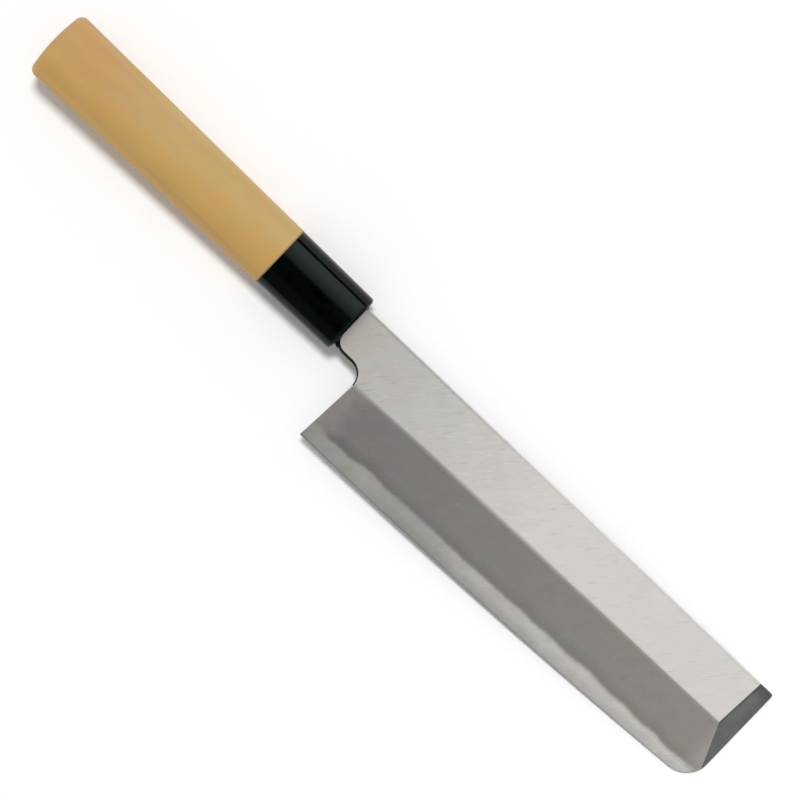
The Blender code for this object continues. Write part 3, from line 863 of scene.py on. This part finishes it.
def grow_bar(name, tree, values):
    """Makes a bar by the tree with those named inputs, as a plain mesh."""
    piece = bpy.data.objects.new(name, bpy.data.meshes.new(name + "_seed"))
    scene.collection.objects.link(piece)
    modifier = piece.modifiers.new("shape", "NODES")
    modifier.node_group = tree
    for item in tree.interface.items_tree:
        if item.in_out == "INPUT":
            modifier[item.identifier] = values[item.name]
    bpy.context.view_layer.update()
    result = bpy.data.meshes.new_from_object(piece.evaluated_get(bpy.context.evaluated_depsgraph_get()))
    piece.modifiers.clear()
    result.materials.pop(index=0)
    piece.data = result
    mesh = bmesh.new()
    mesh.from_mesh(result)
    bmesh.ops.recalc_face_normals(mesh, faces=mesh.faces)
    mesh.to_mesh(result)
    mesh.free()
    return piece


def plug(name, half_height, half_depth, start, end, finish):
    """An oval plug along X, such as a tenon."""
    section = [oval(360 * i / 48) for i in range(48)]
    rings = [[(x, y * half_height, z * half_depth, 0) for y, z in section] for x in (start, end)]
    return skin(name, rings, [finish])


def wood_finish():
    """Bare magnolia: pale straw, browner in soft bands along the grain, with fine fibres and short pores,
    with
    painted light: a paler upper side and lighter long edges.
    """
    material = bpy.data.materials.new("bare_magnolia")
    material.use_nodes = True
    tree = material.node_tree
    shader = tree.nodes["Principled BSDF"]
    shader.inputs["Roughness"].default_value = 0.55
    shader.inputs["Specular IOR Level"].default_value = 0.35
    position = knife_position(tree)
    x, y, _ = coordinates(tree, position)
    bands = grain(tree, position, (70, 5.0, 5.0), 2, 3.0, 0.5, seed=2.0)
    fibres = grain(tree, position, (9, 0.28, 0.28), 1, 3.0, 0.6, seed=6.0)
    pores = grain(tree, position, (1.1, 0.16, 0.16), 1, 1.0, 0.5, seed=4.0).ramp(0.62, 0.74)
    blotches = grain(tree, position, (14, 7, 7), 10, 3.0, 0.5, seed=9.0)
    # Painted sheen: the upper side, above a wavy border that follows the grain, is paler and yellower.
    painted_sheen_border = x.ramp(-95, -35, -2.0, 1.8, smooth=False) + (bands - 0.5) * 9 + (blotches - 0.5) * 12
    above = (y - painted_sheen_border).ramp(-3.5, 3.5)
    butt = x.ramp(-78, -118)
    streak = (1 - (y + 9.2).math("ABSOLUTE").ramp(0.3, 1.6)) * x.ramp(-84, -76) * (1 - x.ramp(-44, -34))
    # Painted light: the grip is drawn lighter towards both long edges, where the rounded section turns from
    # the light.
    painted_light_on_sides = y.ramp(-8.5, -11.0) * 0.18 + y.ramp(8.0, 11.0) * 0.13
    joint = x.ramp(-31.3, -30.75) * 0.45
    warmth = grain(tree, position, (10, 6, 6), 38, 4.0, 0.6, seed=19.0) - 0.5
    tone = (fibres - 0.5) * 0.11 + (bands - 0.5) * 0.10 + (blotches - 0.5) * 0.12 + 1
    tone = (tone - pores * 0.05 - streak * 0.07 + painted_light_on_sides) * (1 - joint)
    red = tone * (0.556 - above * 0.020) * (warmth * 0.08 + 1)
    green = tone * (0.336 + above * (0.024 - butt * 0.042)) * (1 - warmth * 0.10)
    blue = tone * (0.108 + above * (0.038 - butt * 0.018))
    blue = blue * ((blotches - 0.5) * 0.35 + 1) * (1 - warmth * 0.35)
    colour = tree.nodes.new("ShaderNodeCombineColor")
    for socket, part in zip(colour.inputs, (red, green, blue)):
        tree.links.new(part.socket, socket)
    tree.links.new(colour.outputs[0], shader.inputs["Base Color"])
    bump = tree.nodes.new("ShaderNodeBump")
    bump.inputs["Strength"].default_value = 1.0
    bump.inputs["Distance"].default_value = 0.000012
    tree.links.new((fibres - pores * 0.5).socket, bump.inputs["Height"])
    tree.links.new(bump.outputs["Normal"], shader.inputs["Normal"])
    return material


bare_magnolia = wood_finish()
bar = grip_tree()
wood = grow_bar("wooden_handle", bar, {
    "Front": -ferrule_length, "Length": handle_length - ferrule_length,
    "Front height": joint_height, "Back height": butt_height,
    "Front depth": joint_depth, "Back depth": butt_depth,
    "Front rounding": joint_rounding, "Back rounding": 2.6,
    "Back dome": 0.8, "Ridge softness": ridge_softness,
    "Points round": 181, "Points along": 86, "Finish": bare_magnolia})
tenon = plug("tenon", tenon_height / 2, tenon_depth / 2, tenon_length - ferrule_length,
             -ferrule_length - inside_wood, bare_magnolia)
cut(wood, tenon, "UNION")
bpy.data.objects.remove(tenon)
slot = skin("tang_slot", tang_rings(fit_gap, 0.0), [bare_magnolia])
cut(wood, slot)
bpy.data.objects.remove(slot)
lay_on_table(wood)
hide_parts("handle_wood")
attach(wood, "root")


# Ferrule
# Black buffalo horn, shaped to the same D as the handle and polished to a gloss. It is bored behind for the
# tenon and slotted in front for the tang.
def ferrule_finish():
    """Polished black horn with a trace of green, and hardly a scratch."""
    material = bpy.data.materials.new("black_horn")
    material.use_nodes = True
    tree = material.node_tree
    shader = tree.nodes["Principled BSDF"]
    shader.inputs["Specular IOR Level"].default_value = 0.17
    shader.inputs["Specular Tint"].default_value = (0.78, 1.0, 0.95, 1.0)
    position = knife_position(tree)
    clouds = grain(tree, position, (9, 4, 4), 15, 3.0, 0.6, seed=11.0)
    fine = grain(tree, position, (5, 0.3, 0.3), 4, 3.0, 0.6, seed=12.0)
    tone = clouds.ramp(0.3, 0.7, 0.0004, 0.0026)
    tree.links.new(tinted(tree, tone, (0.3, 1.0, 0.7)), shader.inputs["Base Color"])
    tree.links.new((clouds * 0.14 + fine * 0.05 + 0.02).socket, shader.inputs["Roughness"])
    bump = tree.nodes.new("ShaderNodeBump")
    bump.inputs["Strength"].default_value = 1.0
    bump.inputs["Distance"].default_value = 0.00006
    tree.links.new((clouds + fine * 0.03).socket, bump.inputs["Height"])
    tree.links.new(bump.outputs["Normal"], shader.inputs["Normal"])
    return material


ferrule_front = 0.45
front_height = 21.2
front_depth = 17.5
mouth_floor = -11.0
mouth_room = 3.6
black_horn = ferrule_finish()
ferrule = grow_bar("horn_ferrule", bar, {
    "Front": ferrule_front, "Length": ferrule_length + ferrule_front,
    "Front height": front_height, "Back height": joint_height,
    "Front depth": front_depth, "Back depth": joint_depth,
    "Front rounding": 1.1, "Back rounding": joint_rounding,
    "Back dome": 0.0, "Ridge softness": ridge_softness,
    "Points round": 221, "Points along": 60, "Finish": black_horn})
mortise = plug("mortise", tenon_height / 2 + fit_gap, tenon_depth / 2 + fit_gap,
               tenon_length + fit_gap - ferrule_length, -ferrule_length - inside_wood, black_horn)
cut(ferrule, mortise)
bpy.data.objects.remove(mortise)
mouth_height = tang_root_width + mouth_room
mouth_depth = tang_root_thickness + mouth_room
mouth_rings = [rectangle(x, mouth_height / 2, mouth_depth / 2) for x in (mouth_floor, 2.0)]
mouth = skin("mouth", mouth_rings, [black_horn])
cut(ferrule, mouth)
bpy.data.objects.remove(mouth)
lay_on_table(ferrule)
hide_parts("ferrule")
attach(ferrule, "root")


# Resin seal
# Black resin poured round the tang where it enters the ferrule. It stands out in front as a low bead, and a
# little of it fills the corners beside the neck.
resin = bpy.data.materials.new("black_resin")
resin.use_nodes = True
tree = resin.node_tree
shader = tree.nodes["Principled BSDF"]
position = knife_position(tree)
lumps = grain(tree, position, (0.9, 0.9, 0.9), 0, 3.0, 0.6, seed=14.0)
shader.inputs["Specular IOR Level"].default_value = 0.12
tone = lumps.ramp(0.3, 0.7, 0.002, 0.006)
tree.links.new(tinted(tree, tone, (1.0, 1.0, 0.95)), shader.inputs["Base Color"])
tree.links.new((lumps * 0.3 + 0.35).socket, shader.inputs["Roughness"])


def collar_ring(x, half_height, half_depth, corner, wobble=0.0):
    """A rounded rectangle across X, a little uneven where the resin ran."""
    ring = []
    for i in range(64):
        quadrant = i // 16
        centre_y = (half_height - corner) * (1 if quadrant in (0, 3) else -1)
        centre_z = (half_depth - corner) * (1 if quadrant in (0, 1) else -1)
        along_corner = math.radians(90 * quadrant + 90 * (i % 16) / 15)
        bump = 1 + wobble * math.sin(i * 0.9 + x * 3) * math.sin(i * 0.37)
        ring.append((x, (centre_y + corner * math.cos(along_corner)) * bump,
                     (centre_z + corner * math.sin(along_corner)) * bump, 0))
    return ring


# The bead's rings: how far out of the ferrule's front, half height, half depth and corner.
seal_floor = -6.0
in_mouth = (6.4, 3.2, 0.3)
bead = ((0.015, 8.1, 4.6, 1.6), (0.06, 8.15, 4.65, 1.6), (0.11, 8.0, 4.5, 1.6), (0.15, 7.7, 4.2, 1.6),
        (0.16, 7.2, 3.6, 1.4))
seal_rings = [collar_ring(seal_floor, *in_mouth), collar_ring(ferrule_front + 0.01, *in_mouth)]
seal_rings += [collar_ring(ferrule_front + out, *size, wobble=0.02) for out, *size in bead]
seal = skin("resin_collar", seal_rings, [resin])


def run_of_resin(path):
    """A bead of resin along a path of points (x, y, half width), rather square in section."""
    squareness = 0.5
    deepest = 1.8
    section = []
    for i in range(24):
        cosine, sine = math.cos(math.pi * i / 12), math.sin(math.pi * i / 12)
        section.append((math.copysign(abs(cosine) ** squareness, cosine),
                        math.copysign(abs(sine) ** squareness, sine)))
    rings = []
    for i, (x, y, half_width) in enumerate(path):
        before, after = path[max(0, i - 1)], path[min(len(path) - 1, i + 1)]
        way = Vector((after[0] - before[0], after[1] - before[1])).normalized()
        half_depth = min(deepest, half_width * 4)
        rings.append([(x - way.y * half_width * side, y + way.x * half_width * side, half_depth * up, 0)
                      for side, up in section])
    return skin("resin_run", rings, [resin])


lower_run = ((-0.1, -4.1, 0.1), (0.15, -4.8, 0.5), (0.4, -5.7, 0.85), (0.8, -6.6, 0.95), (1.35, -7.35, 0.8),
             (1.95, -7.95, 0.5), (2.4, -8.25, 0.1))
upper_run = ((0.2, 7.45, 0.1), (0.4, 7.25, 0.4), (0.7, 7.0, 0.45), (0.95, 6.8, 0.3), (1.15, 6.75, 0.1))
for path in (lower_run, upper_run):
    run = run_of_resin(path)
    cut(seal, run, "UNION")
    bpy.data.objects.remove(run)
seal_bore = skin("seal_bore", tang_rings(fit_gap, 0.2), [resin])
cut(seal, seal_bore)
bpy.data.objects.remove(seal_bore)
seal_fit.data.materials.append(resin)
cut(seal, seal_fit)
bpy.data.objects.remove(seal_fit)
lay_on_table(seal, smooth_angle=45.0)
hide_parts("tang_seal")
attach(seal, "root")
